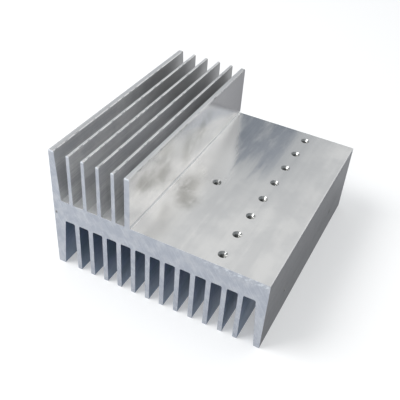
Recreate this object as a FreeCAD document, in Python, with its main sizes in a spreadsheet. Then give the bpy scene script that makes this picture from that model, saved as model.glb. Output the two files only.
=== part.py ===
import FreeCAD, Part
import Sketcher
import math
import os

# Extruded heat sink, one piece of bare aluminium.
# The section is drawn in XZ and runs along Y. A thick base plate carries fins that hang down
# over its whole width, and a narrower group of fins that stands up at its left. The last fin
# of that group is a wall, and the open plate beside it takes the devices.
# Sizes are read from the left face, from the front sawn face and from the lower fin tips.
# The finished piece is then centred on its footprint, so that it stands on the origin.

SIZES = (
    # Along the extrusion
    ("sink_length", 160.0, "from one sawn face to the other"),
    # Heights
    ("lower_fin_height", 38.5, "lower fin tips to the underside of the base plate"),
    ("base_thickness", 15.5, "base plate"),
    ("upper_fin_height", 37.0, "top of the base plate to the upper fin tips"),
    # Lower fins, from left to right
    ("left_wall_root", 8.3, "left outer wall at the base plate"),
    ("left_wall_tip", 5.2, "left outer wall at its lower tip"),
    ("lower_gap", 7.1, "air gap between two lower fins, at the base plate"),
    ("lower_fin_root", 3.3, "inner lower fin at the base plate"),
    ("lower_fin_tip", 3.1, "inner lower fin at its tip"),
    ("lower_fin_count", 12, "inner lower fins, between the two outer walls"),
    ("last_lower_gap", 7.8, "air gap beside the right outer wall"),
    ("right_wall_root", 7.1, "right outer wall at the base plate"),
    ("right_wall_tip", 4.0, "right outer wall at its lower tip"),
    # Upper fins, from left to right
    ("outer_fin_root", 6.1, "leftmost upper fin at the base plate"),
    ("outer_fin_tip", 4.0, "leftmost upper fin at its tip"),
    ("upper_end_gap", 6.4, "first and last air gap between the upper fins"),
    ("upper_gap", 7.7, "air gap between two inner upper fins"),
    ("upper_fin_root", 2.7, "inner upper fin at the base plate"),
    ("upper_fin_tip", 2.3, "inner upper fin at its tip"),
    ("upper_fin_count", 4, "inner upper fins, between the outer fin and the wall"),
    ("wall_thickness", 3.7, "wall that closes the upper fins on the right"),
    # Radii that the die leaves
    ("lower_root_radius", 1.0, "corners at the root of the lower gaps"),
    ("upper_root_radius", 0.8, "corners at the root of the upper gaps and of the wall"),
    ("lower_tip_radius", 0.4, "edges of the lower tips"),
    ("upper_tip_radius", 0.8, "edges of the upper tips"),
    ("plate_edge_radius", 0.6, "right edge of the plate"),
    # Row of tapped holes in the plate
    ("row_hole_count", 8, "holes in the row"),
    ("row_hole_pitch", 20.0, "hole to hole along the row"),
    ("row_hole_start", 9.5, "front face to the first hole"),
    ("row_inset", 34.0, "right face to the row"),
    # Single tapped hole between the row and the wall, level with one hole of the row
    ("lone_hole_inset", 67.3, "right face to the hole"),
    # The plate's holes are all of one kind
    ("plate_hole_core", 3.3, "core of the thread"),
    ("plate_hole_mouth", 6.0, "countersink at the mouth"),
    ("plate_hole_depth", 12.0, "depth of the core"),
    # Two tapped holes through the right outer wall
    ("side_hole_core", 2.5, "core of the thread"),
    ("side_hole_mouth", 3.3, "countersink at the mouth"),
    ("side_hole_height", 19.0, "lower fin tips to the holes"),
    ("side_hole_start", 35.0, "front face to the first hole"),
    ("side_hole_spacing", 90.0, "hole to hole"),
)

SIDE_HOLE_COUNT = 2
ROW_HOLES_BEFORE_LONE_HOLE = 3
DRILL_POINT_ANGLE = 118.0
COUNTERSINK_ANGLE = 90.0
# A tip keeps a narrow flat between its two rounded edges
ROUNDED_SHARE_OF_TIP = 0.45
SAME_PLACE = 1e-4

document = FreeCAD.newDocument("extrusion")

sheet = document.addObject("Spreadsheet::Sheet", "sizes")
for row, (alias, value, meaning) in enumerate(SIZES, start=1):
    sheet.set("A%d" % row, meaning)
    sheet.set("B%d" % row, str(value))
    sheet.setAlias("B%d" % row, alias)
document.recompute()

# Places that follow from the sizes, written as expressions.
# Lower section, from left to right
LOWER_PITCH = "(sizes.lower_gap + sizes.lower_fin_root)"
LOWER_TAPER = "((sizes.lower_fin_root - sizes.lower_fin_tip) / 2)"
SECOND_GAP = f"(sizes.left_wall_root + {LOWER_PITCH})"
LAST_GAP = f"(sizes.left_wall_root + sizes.lower_fin_count * {LOWER_PITCH})"
WIDTH = f"({LAST_GAP} + sizes.last_lower_gap + sizes.right_wall_root)"

# Upper section, from left to right
UPPER_PITCH = "(sizes.upper_gap + sizes.upper_fin_root)"
UPPER_TAPER = "((sizes.upper_fin_root - sizes.upper_fin_tip) / 2)"
FIRST_THIN_FIN = "(sizes.outer_fin_root + sizes.upper_end_gap)"
SECOND_UPPER_GAP = f"({FIRST_THIN_FIN} + sizes.upper_fin_root)"
LAST_UPPER_GAP = f"({FIRST_THIN_FIN} + sizes.upper_fin_count * {UPPER_PITCH} - sizes.upper_gap)"
WALL_LEFT = f"({LAST_UPPER_GAP} + sizes.upper_end_gap)"
WALL_RIGHT = f"({WALL_LEFT} + sizes.wall_thickness)"

# Left face and levels
LEFT_FACE = "0"
TIPS = "0"
UNDERSIDE = "sizes.lower_fin_height"
PLATE_TOP = "(sizes.lower_fin_height + sizes.base_thickness)"
FIN_TOP = f"({PLATE_TOP} + sizes.upper_fin_height)"

# Along the extrusion, from the front face
LONE_HOLE_ALONG = f"(sizes.row_hole_start + {ROW_HOLES_BEFORE_LONE_HOLE} * sizes.row_hole_pitch)"

body = document.addObject("PartDesign::Body", "heat_sink")
body.Label = "heat_sink"
body.setExpression("Placement.Base.x", f"0 - {WIDTH} / 2")
body.setExpression("Placement.Base.y", "0 - sizes.sink_length / 2")
document.recompute()


def number(expression):
    """The value of an expression, from the sheet as it stands."""
    result = body.evalExpression(expression)
    return float(getattr(result, "Value", result))


def new_sketch(name, plane_role, height=TIPS):
    """A sketch on one of the body's own origin planes, raised along the plane's normal."""
    sketch = body.newObject("Sketcher::SketchObject", name)
    plane = next(o for o in body.Origin.OriginFeatures if o.Role == plane_role)
    sketch.AttachmentSupport = [(plane, "")]
    sketch.MapMode = "FlatFace"
    sketch.setExpression("AttachmentOffset.Base.z", height)
    return sketch


def place_point(sketch, line, end, name, across, up):
    """Ties one end of a line to the sketch's origin by two named distances."""
    for kind, suffix, expression in (("DistanceX", "across", across), ("DistanceY", "up", up)):
        label = f"{name}_{suffix}"
        index = sketch.addConstraint(
            Sketcher.Constraint(kind, -1, 1, line, end, number(expression))
        )
        sketch.renameConstraint(index, label)
        sketch.setExpression(f"Constraints.{label}", expression)


def draw_outline(name, corners):
    """A closed outline of straight edges in the section plane, each corner tied to the sizes."""
    sketch = new_sketch(name, "XZ_Plane")
    points = [FreeCAD.Vector(number(x), number(z), 0) for corner, x, z in corners]
    following = points[1:] + points[:1]
    for start, end in zip(points, following):
        sketch.addGeometry(Part.LineSegment(start, end), False)
    count = len(corners)
    for line in range(count):
        sketch.addConstraint(Sketcher.Constraint("Coincident", line, 2, (line + 1) % count, 1))
    for line, (corner, x, z) in enumerate(corners):
        place_point(sketch, line, 1, corner, x, z)
    document.recompute()
    return sketch


def check_cut(feature, before):
    """Stops if a feature took nothing away from the volume before it."""
    document.recompute()
    taken = before - feature.Shape.Volume
    if taken <= 0:
        raise RuntimeError(f"{feature.Name} took away {taken:.3f} mm3")
    return feature


def cut_gap(name, roots, mouths, root_level, mouth_level):
    """An air gap through the whole length, given where its two sides meet root and mouth."""
    before = body.Tip.Shape.Volume
    corners = (
        ("root_left", roots[0], root_level),
        ("root_right", roots[1], root_level),
        ("mouth_right", mouths[1], mouth_level),
        ("mouth_left", mouths[0], mouth_level),
    )
    pocket = body.newObject("PartDesign::Pocket", name)
    pocket.Profile = draw_outline(f"{name}_outline", corners)
    pocket.Type = "Length"
    pocket.Reversed = False
    pocket.Refine = True
    pocket.setExpression("Length", "sizes.sink_length")
    body.Tip = pocket
    return check_cut(pocket, before)


def repeat(feature, name, axis_of, axis, pitch, count):
    """The same feature again and again along one axis of its sketch."""
    before = feature.Shape.Volume
    pattern = body.newObject("PartDesign::LinearPattern", name)
    pattern.Originals = [feature]
    pattern.Direction = (axis_of, [axis])
    pattern.Mode = "Spacing"
    pattern.setExpression("Offset", pitch)
    pattern.setExpression("Occurrences", count)
    body.Tip = pattern
    document.recompute()
    if number(count) > 1:
        check_cut(pattern, before)
    return pattern


def long_edges(shape, wanted):
    """Names of the edges along the extrusion for which wanted(x, z) holds."""
    names = []
    for index, edge in enumerate(shape.Edges, start=1):
        first, last = edge.Vertexes[0].Point, edge.Vertexes[-1].Point
        along = abs(last.y - first.y)
        if abs(along - edge.Length) < SAME_PLACE and along > SAME_PLACE and wanted(first.x, first.z):
            names.append(f"Edge{index}")
    return names


def round_edges(name, radius, wanted):
    """Rounds the long edges that are wanted."""
    base = body.Tip
    fillet = body.newObject("PartDesign::Fillet", name)
    fillet.Base = (base, long_edges(base.Shape, wanted))
    fillet.setExpression("Radius", radius)
    body.Tip = fillet
    document.recompute()
    return fillet


def drill(name, sketch, core, mouth, depth):
    """Countersunk holes with a drill point, one for each circle of the sketch."""
    document.recompute()
    before = body.Tip.Shape.Volume
    hole = body.newObject("PartDesign::Hole", name)
    hole.Profile = sketch
    hole.ThreadType = "None"
    hole.DepthType = "Dimension"
    hole.DrillPoint = "Angled"
    hole.DrillPointAngle = DRILL_POINT_ANGLE
    hole.HoleCutType = "Countersink"
    hole.HoleCutCountersinkAngle = COUNTERSINK_ANGLE
    hole.setExpression("Diameter", core)
    hole.setExpression("HoleCutDiameter", mouth)
    hole.setExpression("Depth", depth)
    body.Tip = hole
    return check_cut(hole, before)


def draw_circle(name, plane_role, height, across, up, diameter):
    """A sketch with one circle, its centre and its diameter tied to the sizes."""
    sketch = new_sketch(name, plane_role, height)
    centre = FreeCAD.Vector(number(across), number(up), 0)
    sketch.addGeometry(Part.Circle(centre, FreeCAD.Vector(0, 0, 1), number(diameter) / 2), False)
    place_point(sketch, 0, 3, "centre", across, up)
    index = sketch.addConstraint(Sketcher.Constraint("Diameter", 0, number(diameter)))
    sketch.renameConstraint(index, "diameter")
    sketch.setExpression("Constraints.diameter", diameter)
    return sketch


# The billet: the outline of the whole section, with the plate lower than the upper fins
billet = body.newObject("PartDesign::Pad", "billet")
billet.Profile = draw_outline(
    "section_outline",
    (
        ("tips_left", LEFT_FACE, TIPS),
        ("tips_right", WIDTH, TIPS),
        ("plate_right", WIDTH, PLATE_TOP),
        ("wall_foot", WALL_RIGHT, PLATE_TOP),
        ("wall_top", WALL_RIGHT, FIN_TOP),
        ("top_left", LEFT_FACE, FIN_TOP),
    ),
)
billet.Reversed = True
billet.setExpression("Length", "sizes.sink_length")
body.Tip = billet
document.recompute()

# Lower gaps. The outer walls taper on their inner side only, and the inner fins on both
cut_gap(
    "first_lower_gap",
    ("sizes.left_wall_root", "sizes.left_wall_root + sizes.lower_gap"),
    ("sizes.left_wall_tip", f"sizes.left_wall_root + sizes.lower_gap + {LOWER_TAPER}"),
    UNDERSIDE,
    TIPS,
)
lower_gap = cut_gap(
    "lower_gap",
    (SECOND_GAP, f"{SECOND_GAP} + sizes.lower_gap"),
    (f"{SECOND_GAP} - {LOWER_TAPER}", f"{SECOND_GAP} + sizes.lower_gap + {LOWER_TAPER}"),
    UNDERSIDE,
    TIPS,
)
repeat(
    lower_gap,
    "lower_gaps",
    lower_gap.Profile[0],
    "H_Axis",
    LOWER_PITCH,
    "sizes.lower_fin_count - 1",
)
cut_gap(
    "last_lower_gap",
    (LAST_GAP, f"{LAST_GAP} + sizes.last_lower_gap"),
    (f"{LAST_GAP} - {LOWER_TAPER}", f"{WIDTH} - sizes.right_wall_tip"),
    UNDERSIDE,
    TIPS,
)

# Upper gaps. The outer fin tapers on its inner side, and the wall not at all
cut_gap(
    "first_upper_gap",
    ("sizes.outer_fin_root", FIRST_THIN_FIN),
    ("sizes.outer_fin_tip", f"{FIRST_THIN_FIN} + {UPPER_TAPER}"),
    PLATE_TOP,
    FIN_TOP,
)
upper_gap = cut_gap(
    "upper_gap",
    (SECOND_UPPER_GAP, f"{SECOND_UPPER_GAP} + sizes.upper_gap"),
    (
        f"{SECOND_UPPER_GAP} - {UPPER_TAPER}",
        f"{SECOND_UPPER_GAP} + sizes.upper_gap + {UPPER_TAPER}",
    ),
    PLATE_TOP,
    FIN_TOP,
)
repeat(
    upper_gap,
    "upper_gaps",
    upper_gap.Profile[0],
    "H_Axis",
    UPPER_PITCH,
    "sizes.upper_fin_count - 1",
)
cut_gap(
    "last_upper_gap",
    (LAST_UPPER_GAP, WALL_LEFT),
    (f"{LAST_UPPER_GAP} - {UPPER_TAPER}", WALL_LEFT),
    PLATE_TOP,
    FIN_TOP,
)

# Radii of the section: roots first, then tips and outer edges
underside = number(UNDERSIDE)
plate_top = number(PLATE_TOP)
fin_top = number(FIN_TOP)
width = number(WIDTH)


def at(value, level):
    return math.isclose(value, level, abs_tol=SAME_PLACE)


round_edges("lower_roots", "sizes.lower_root_radius", lambda x, z: at(z, underside))
round_edges(
    "upper_roots", "sizes.upper_root_radius", lambda x, z: at(z, plate_top) and not at(x, width)
)
round_edges(
    "lower_tips",
    f"min(sizes.lower_tip_radius; {ROUNDED_SHARE_OF_TIP} * sizes.lower_fin_tip)",
    lambda x, z: at(z, 0),
)
round_edges(
    "upper_tips",
    f"min(sizes.upper_tip_radius; {ROUNDED_SHARE_OF_TIP} * sizes.upper_fin_tip)",
    lambda x, z: at(z, fin_top),
)
round_edges(
    "plate_edge",
    "sizes.plate_edge_radius",
    lambda x, z: at(z, plate_top) and at(x, width),
)

# Tapped holes in the plate, drilled from above to the thread's core
row_hole_circle = draw_circle(
    "row_hole_circle",
    "XY_Plane",
    PLATE_TOP,
    f"{WIDTH} - sizes.row_inset",
    "sizes.row_hole_start",
    "sizes.plate_hole_core",
)
row_hole = drill(
    "row_hole",
    row_hole_circle,
    "sizes.plate_hole_core",
    "sizes.plate_hole_mouth",
    "sizes.plate_hole_depth",
)
repeat(row_hole, "row_holes", row_hole_circle, "V_Axis", "sizes.row_hole_pitch", "sizes.row_hole_count")
lone_hole_circle = draw_circle(
    "lone_hole_circle",
    "XY_Plane",
    PLATE_TOP,
    f"{WIDTH} - sizes.lone_hole_inset",
    LONE_HOLE_ALONG,
    "sizes.plate_hole_core",
)
drill(
    "lone_hole",
    lone_hole_circle,
    "sizes.plate_hole_core",
    "sizes.plate_hole_mouth",
    "sizes.plate_hole_depth",
)

# Tapped holes through the right outer wall, into the gap behind it
side_hole_circle = draw_circle(
    "side_hole_circle",
    "YZ_Plane",
    WIDTH,
    "sizes.side_hole_start",
    "sizes.side_hole_height",
    "sizes.side_hole_core",
)
side_hole = drill(
    "side_hole",
    side_hole_circle,
    "sizes.side_hole_core",
    "sizes.side_hole_mouth",
    "sizes.right_wall_root",
)
repeat(side_hole, "side_holes", side_hole_circle, "H_Axis", "sizes.side_hole_spacing", str(SIDE_HOLE_COUNT))

document.recompute()
for thing in document.Objects:
    faults = [s for s in thing.State if s in ("Invalid", "Error")]
    if faults:
        raise RuntimeError(f"{thing.Name} failed: {faults}")
if body.Shape.isNull() or not body.Shape.isValid() or len(body.Shape.Solids) != 1:
    raise RuntimeError("the heat sink is not one valid solid")

os.makedirs("parts", exist_ok=True)
body.Shape.exportStep(os.path.join("parts", f"{body.Label}.step"))
box = body.Shape.BoundBox
print(f"{body.Label}: {box.XLength:.2f} x {box.YLength:.2f} x {box.ZLength:.2f} mm")
print(f"x {box.XMin:.2f}..{box.XMax:.2f}, y {box.YMin:.2f}..{box.YMax:.2f}, z {box.ZMin:.2f}..{box.ZMax:.2f}")
print(f"volume {body.Shape.Volume / 1000:.1f} cm3, faces {len(body.Shape.Faces)}")
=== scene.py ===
# %% [markdown]
# Extruded heat sink.
# The part is one length of bare aluminium section, sawn at both ends and then drilled and
# tapped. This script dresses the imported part: it rebuilds the extrusion as a clean mesh with
# broken saw edges and real threads, and gives each kind of surface its own finish.
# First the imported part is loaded. It is the fixed frame that everything else is fitted to.

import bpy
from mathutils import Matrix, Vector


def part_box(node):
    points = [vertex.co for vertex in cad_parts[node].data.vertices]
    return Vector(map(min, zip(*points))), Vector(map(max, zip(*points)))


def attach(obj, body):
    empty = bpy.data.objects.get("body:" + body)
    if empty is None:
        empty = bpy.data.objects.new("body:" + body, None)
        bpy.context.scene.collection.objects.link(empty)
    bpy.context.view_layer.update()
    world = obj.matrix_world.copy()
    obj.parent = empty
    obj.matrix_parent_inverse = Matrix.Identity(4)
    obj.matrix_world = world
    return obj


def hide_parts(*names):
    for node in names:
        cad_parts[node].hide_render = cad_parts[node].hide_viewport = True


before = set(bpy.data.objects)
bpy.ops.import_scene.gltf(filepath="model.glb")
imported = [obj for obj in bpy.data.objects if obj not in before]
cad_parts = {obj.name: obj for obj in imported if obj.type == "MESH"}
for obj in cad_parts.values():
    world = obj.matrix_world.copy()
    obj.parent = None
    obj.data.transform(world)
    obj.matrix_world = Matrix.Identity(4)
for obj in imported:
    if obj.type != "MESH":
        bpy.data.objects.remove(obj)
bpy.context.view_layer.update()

# %% Modules and units
import math

import bmesh
import bpy
from mathutils import Matrix, Vector

MM = 0.001
NODE = "heat_sink"
LOW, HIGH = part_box(NODE)
SIZE = HIGH - LOW
print("size in mm:", [round(side / MM, 2) for side in SIZE])


# %% [markdown]
# The section is a comb on both sides of a thick plate. Its sizes come first, because both the
# shapes and the finishes are placed by them. They are millimetres, measured as on the die's
# drawing: from the left face and from the lower fin tips.

# %% Sizes of the section
LOWER_FIN_HEIGHT = 38.5
BASE_THICKNESS = 15.5
UPPER_FIN_HEIGHT = 37.0
LEFT_WALL_ROOT = 8.3
LEFT_WALL_TIP = 5.2
LOWER_GAP = 7.1
LOWER_FIN_ROOT = 3.3
LOWER_FIN_TIP = 3.1
LOWER_FIN_COUNT = 12
LAST_LOWER_GAP = 7.8
RIGHT_WALL_ROOT = 7.1
RIGHT_WALL_TIP = 4.0
OUTER_FIN_ROOT = 6.1
OUTER_FIN_TIP = 4.0
UPPER_END_GAP = 6.4
UPPER_GAP = 7.7
UPPER_FIN_ROOT = 2.7
UPPER_FIN_TIP = 2.3
UPPER_FIN_COUNT = 4
WALL_THICKNESS = 3.7
LOWER_ROOT_RADIUS = 1.0
UPPER_ROOT_RADIUS = 0.8
LOWER_TIP_RADIUS = 0.4
UPPER_TIP_RADIUS = 0.8
PLATE_EDGE_RADIUS = 0.6
# The outline starts and ends on the left face, with a closing step too short to see
START_LEVEL = 2.0
CLOSING_STEP = 0.1

UNDERSIDE = LOWER_FIN_HEIGHT
PLATE_LEVEL = UNDERSIDE + BASE_THICKNESS
FIN_LEVEL = PLATE_LEVEL + UPPER_FIN_HEIGHT
print("fin tips at", FIN_LEVEL, "mm, and the packed part ends at", round(HIGH.z / MM, 2))


# %% [markdown]
# The camera stands where the photograph was taken: in front, a little to the right and above,
# close enough for a strong perspective, and rolled a few degrees. A camera is described by
# three directions of its own: right, up and back. They are worked out from an azimuth, an
# elevation and a roll, which is easier to read than a matrix of numbers.

# %% Camera
CAMERA_AZIMUTH = math.radians(24.419)
CAMERA_ELEVATION = math.radians(38.862)
CAMERA_ROLL = math.radians(4.688)
CAMERA_PLACE = Vector((133.677, -314.987, 303.444)) * MM
FOCAL_LENGTH = 55.993
SENSOR_WIDTH = 36.0
CLIP_START = 10.0


def aim(azimuth, elevation, roll=0.0):
    """Turns something so that it looks back at the origin from an azimuth and an elevation."""
    flat = math.cos(elevation)
    back = Vector((math.sin(azimuth) * flat, -math.cos(azimuth) * flat, math.sin(elevation)))
    right = Vector((math.cos(azimuth), math.sin(azimuth), 0))
    up = back.cross(right)
    rolled_right = math.cos(roll) * right + math.sin(roll) * up
    rolled_up = math.cos(roll) * up - math.sin(roll) * right
    return Matrix((rolled_right, rolled_up, back)).transposed().to_4x4()


camera_data = bpy.data.cameras.new("camera")
camera_data.lens = FOCAL_LENGTH
camera_data.sensor_width = SENSOR_WIDTH
camera_data.clip_start = CLIP_START * MM
camera = bpy.data.objects.new("camera", camera_data)
bpy.context.scene.collection.objects.link(camera)
camera.matrix_world = Matrix.Translation(CAMERA_PLACE) @ aim(
    CAMERA_AZIMUTH, CAMERA_ELEVATION, CAMERA_ROLL
)
bpy.context.scene.camera = camera
print("camera distance from the part's middle, m:", round((CAMERA_PLACE - (LOW + HIGH) / 2).length, 3))


# %% [markdown]
# Geometry Nodes and materials are both trees of nodes. Small helpers keep the trees below short:
# one adds a node and fills its inputs, where an input may be a value or another node's output,
# two more do so for sums and vectors, and one starts a Geometry Nodes tree with named inputs.

# %% Helpers for node trees
def add(tree, kind, inputs=None, **settings):
    """A new node. Inputs are given by name or place, as a value or as another node's output."""
    node = tree.nodes.new(kind)
    for name, value in settings.items():
        setattr(node, name, value)
    for key, value in (inputs or {}).items():
        socket = node.inputs[key]
        if isinstance(value, bpy.types.NodeSocket):
            tree.links.new(value, socket)
        else:
            socket.default_value = value
    return node


def math_node(tree, operation, *values):
    """The sum, product or the like of up to three values."""
    return add(tree, "ShaderNodeMath", dict(enumerate(values)), operation=operation).outputs[0]


def vector_node(tree, operation, first, second):
    """A vector worked out from a vector and another one, or from a vector and a factor."""
    place = "Scale" if operation == "SCALE" else 1
    node = add(tree, "ShaderNodeVectorMath", {0: first, place: second}, operation=operation)
    return node.outputs[0]


def new_geometry_tree(name, inputs):
    """A Geometry Nodes tree with a geometry in, a geometry out and the named inputs between."""
    tree = bpy.data.node_groups.new(name, "GeometryNodeTree")
    tree.interface.new_socket("Geometry", in_out="INPUT", socket_type="NodeSocketGeometry")
    for label, kind in inputs:
        tree.interface.new_socket(label, in_out="INPUT", socket_type=f"NodeSocket{kind}")
    tree.interface.new_socket("Geometry", in_out="OUTPUT", socket_type="NodeSocketGeometry")
    return tree, tree.nodes.new("NodeGroupInput").outputs, tree.nodes.new("NodeGroupOutput").inputs


def run_tree(source, tree, values):
    """Gives an object the tree with its values, and returns the result as a plain mesh."""
    modifier = source.modifiers.new(tree.name, "NODES")
    modifier.node_group = tree
    for item in tree.interface.items_tree:
        if item.name in values:
            modifier[item.identifier] = values[item.name]
    bpy.context.view_layer.update()
    evaluated = source.evaluated_get(bpy.context.evaluated_depsgraph_get())
    mesh = bpy.data.meshes.new_from_object(evaluated)
    source.modifiers.remove(modifier)
    return mesh


def show(name, data):
    """Puts a mesh or a curve into the scene as an object at the origin."""
    thing = bpy.data.objects.new(name, data)
    bpy.context.scene.collection.objects.link(thing)
    return thing


def print_materials(mesh):
    """Drops empty material slots, and prints how many faces each material has."""
    for place in reversed(range(len(mesh.materials))):
        if mesh.materials[place] is None:
            mesh.materials.pop(index=place)
    counts = {material.name: 0 for material in mesh.materials}
    for polygon in mesh.polygons:
        counts[mesh.materials[polygon.material_index].name] += 1
    print("faces of each material:", counts)


print("helpers ready")


# %% [markdown]
# The finishes come before the shapes, because the node trees below hand them out.
# A heat sink like this has three kinds: mill finish, sawn ends and bored holes. Most of it is
# mill finish: the metal as it left the die, with fine lines that all run along the length. Real
# die lines smear a reflection across themselves, and the shader's anisotropy does the same.
# The noise is stretched along Y by scaling the object coordinates unevenly.

# %% Material helpers
# Nearly all values of a noise lie in this range
NOISE_RANGE = (0.3, 0.7)


def new_material(name, color, roughness, anisotropy=0.0):
    """A metal. Returns the material, its tree, its shader and its object coordinates."""
    material = bpy.data.materials.new(name)
    material.use_nodes = True
    tree = material.node_tree
    shader = tree.nodes["Principled BSDF"]
    shader.inputs["Base Color"].default_value = (*color, 1)
    shader.inputs["Metallic"].default_value = 1.0
    shader.inputs["Roughness"].default_value = roughness
    shader.inputs["Anisotropic"].default_value = anisotropy
    place = add(tree, "ShaderNodeTexCoord").outputs["Object"]
    return material, tree, shader, place


def noise(tree, place, per_mm, detail=3.0, roughness=0.5, seed=0.0):
    """Noise with its own number of grains per millimetre along X, Y and Z."""
    scale = [grains / MM for grains in per_mm]
    stretched = add(
        tree, "ShaderNodeMapping", {"Vector": place, "Scale": scale, "Location": (seed, seed, seed)}
    )
    texture = add(
        tree,
        "ShaderNodeTexNoise",
        {"Vector": stretched.outputs[0], "Scale": 1.0, "Detail": detail, "Roughness": roughness},
    )
    return texture.outputs["Fac"]


def spread(tree, value, low, high, to_low=0.0, to_high=1.0, smooth=True):
    """Maps a range of a value onto another range, and stops at its ends."""
    node = add(
        tree,
        "ShaderNodeMapRange",
        {
            "Value": value,
            "From Min": low,
            "From Max": high,
            "To Min": to_low,
            "To Max": to_high,
        },
        interpolation_type="SMOOTHSTEP" if smooth else "LINEAR",
    )
    return node.outputs["Result"]


def overlap(tree, *masks):
    """Where all the masks meet: their product."""
    shared = masks[0]
    for mask in masks[1:]:
        shared = math_node(tree, "MULTIPLY", shared, mask)
    return shared


# The Mix node holds sockets for every kind of value, and these are its colour ones
MIX_SHARE, MIX_FIRST, MIX_SECOND, MIX_RESULT = 0, 6, 7, 2


def mix_colors(tree, share, first, second, blend="MIX"):
    """Two colours mixed by a share. Each may be a plain colour or an output."""
    first, second = [(*c, 1) if isinstance(c, tuple) else c for c in (first, second)]
    node = add(
        tree,
        "ShaderNodeMix",
        {MIX_SHARE: share, MIX_FIRST: first, MIX_SECOND: second},
        data_type="RGBA",
        blend_type=blend,
    )
    return node.outputs[MIX_RESULT]


print("material helpers ready")


# %% [markdown]
# Mill finish is the metal as the die left it. Its colour drifts a little across the profile in
# bands, because the flow of metal differs from place to place, and hardly along the length.
# The same recipe serves every drawn surface, with its own colour and gloss: where the die's
# tongues formed the gaps the metal came out duller than on the plate and the wall.

# %% Mill finish as a recipe
# Grains per millimetre along X, Y and Z
BAND_GRAINS = (0.10, 0.004, 0.10)
LINE_GRAINS = (2.0, 0.006, 2.0)
CLOUD_GRAINS = (0.05, 0.04, 0.05)
# The ranges in which the summed noises change the colour and the gloss
DULL_RANGE = (0.82, 1.22)
GLOSS_RANGE = (0.7, 1.3)
LINE_RELIEF = 0.02


def mill_finish(name, color, dull, roughness, line_depth, line_share, anisotropy=0.35):
    """Metal with bands, clouds and die lines. Also returns its colour, to be worked on."""
    material, tree, shader, place = new_material(name, color, roughness[0], anisotropy)
    bands = noise(tree, place, BAND_GRAINS, detail=3, roughness=0.5)
    lines = noise(tree, place, LINE_GRAINS, detail=3, roughness=0.7, seed=3)
    clouds = noise(tree, place, CLOUD_GRAINS, detail=5, roughness=0.62, seed=7)
    centred = math_node(tree, "SUBTRACT", lines, 0.5)
    seen = math_node(tree, "MULTIPLY", centred, line_share)
    cover = math_node(tree, "ADD", math_node(tree, "ADD", bands, clouds), seen)
    cover = spread(tree, cover, *DULL_RANGE)
    drift = math_node(tree, "ADD", clouds, lines)
    gloss = spread(tree, drift, *GLOSS_RANGE, *roughness)
    tree.links.new(gloss, shader.inputs["Roughness"])
    bump = add(
        tree,
        "ShaderNodeBump",
        {"Height": lines, "Strength": line_depth, "Distance": LINE_RELIEF * MM},
    )
    tree.links.new(bump.outputs[0], shader.inputs["Normal"])
    tangent = add(tree, "ShaderNodeTangent", direction_type="UV_MAP", uv_map="grain")
    tree.links.new(tangent.outputs[0], shader.inputs["Tangent"])
    return material, tree, shader, place, mix_colors(tree, cover, color, dull)


def in_mm(tree, place):
    """The X, Y and Z of a place in millimetres."""
    larger = vector_node(tree, "SCALE", place, 1 / MM)
    return add(tree, "ShaderNodeSeparateXYZ", {0: larger}).outputs


def patch(tree, place, centre, reach, soft=0.6):
    """A soft spot on a surface: 1 inside, fading to 0 at its reach. In millimetres."""
    away = vector_node(tree, "SUBTRACT", place, tuple(side * MM for side in centre))
    share = vector_node(tree, "DIVIDE", away, tuple(side * MM for side in reach))
    length = add(tree, "ShaderNodeVectorMath", {0: share}, operation="LENGTH")
    return spread(tree, length.outputs["Value"], 1.0 - soft, 1.0, 1.0, 0.0)


print("mill finish recipe ready")

# %% [markdown]
# The plate and the wall carry the marks that the photograph shows, painted onto the same mill
# finish one after another. Each mark is a mask, a number from 0 to 1 over the surface, which
# mixes another colour in. A mask could come from a picture, but one that is worked out from the
# object's own coordinates is sharp at any distance and stays with the object.
# The outlines of smudges are made ragged by pushing the coordinates about with a noise.

# %% Mill finish of the plate and the wall
MILL_COLOR = (0.77, 0.77, 0.77)
MILL_DULL = (0.69, 0.693, 0.70)
MILL_ROUGHNESS = (0.16, 0.27)
PUSH_GRAIN = 90.0
PUSH_REACH = 3.5
ABOVE_PLATE = (PLATE_LEVEL + 1, PLATE_LEVEL + 2)

mill, tree, shader, place, color = mill_finish(
    "mill_finish", MILL_COLOR, MILL_DULL, MILL_ROUGHNESS, line_depth=0.10, line_share=0.2
)
x, y, z = in_mm(tree, place)
push = add(tree, "ShaderNodeTexNoise", {"Vector": place, "Scale": PUSH_GRAIN, "Detail": 4.0})
pushed = vector_node(tree, "SCALE", push.outputs["Color"], 2 * PUSH_REACH * MM)
centred = vector_node(tree, "SUBTRACT", pushed, (PUSH_REACH * MM,) * 3)
ragged = vector_node(tree, "ADD", place, centred)
print("plain mill finish:", len(tree.nodes), "nodes")

# %% [markdown]
# On the back left of the plate lies a bluish patch, partly oxide and partly a painted reflection of
# the bluish room behind. Its right edge runs along the grain, its front fades out in streaks, and
# its left edge runs aslant to the foot of the wall at the back. Between that edge and the wall a
# strip is painted brighter, a painted reflection of the bright wall that the plate mirrors there.
# It is also less glossy, so the mirror image of the wall is soft in it.

# %% Bluish patch of oxide and painted reflection, and the brightened strip beside it
# Partly oxide, partly a painted reflection of the bluish room
OXIDE_AND_REFLECTION_BLUE = (0.45, 0.475, 0.52)
# Painted reflection: the brighter colour of the strip where the plate mirrors the wall
PAINTED_WALL_REFLECTION = (0.91, 0.91, 0.905)
STRIP_ROUGHER = 0.22
STREAK_GRAINS = (0.14, 0.012, 0.14)
FLECK_GRAINS = (0.10, 0.03, 0.10)
BLUE_FRONT_EDGE = (0.0, 40.0)
BLUE_RIGHT_EDGE = (27.0, 40.0)
BLUE_LEFT_EDGE = (9.0, 17.0)
BLUE_LEFT_SLOPE = 0.383
FRONT_STREAKS = 18.0
RIGHT_STREAKS = 3.0
LEFT_STREAKS = 1.0
STRIP_SIDE_EDGE = (-24.0, 4.0)
STRIP_FRONT_EDGE = (-25.0, 25.0)
FLECK_RANGE = (0.30, 0.60)
LEAST_BLUE = 0.25

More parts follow.
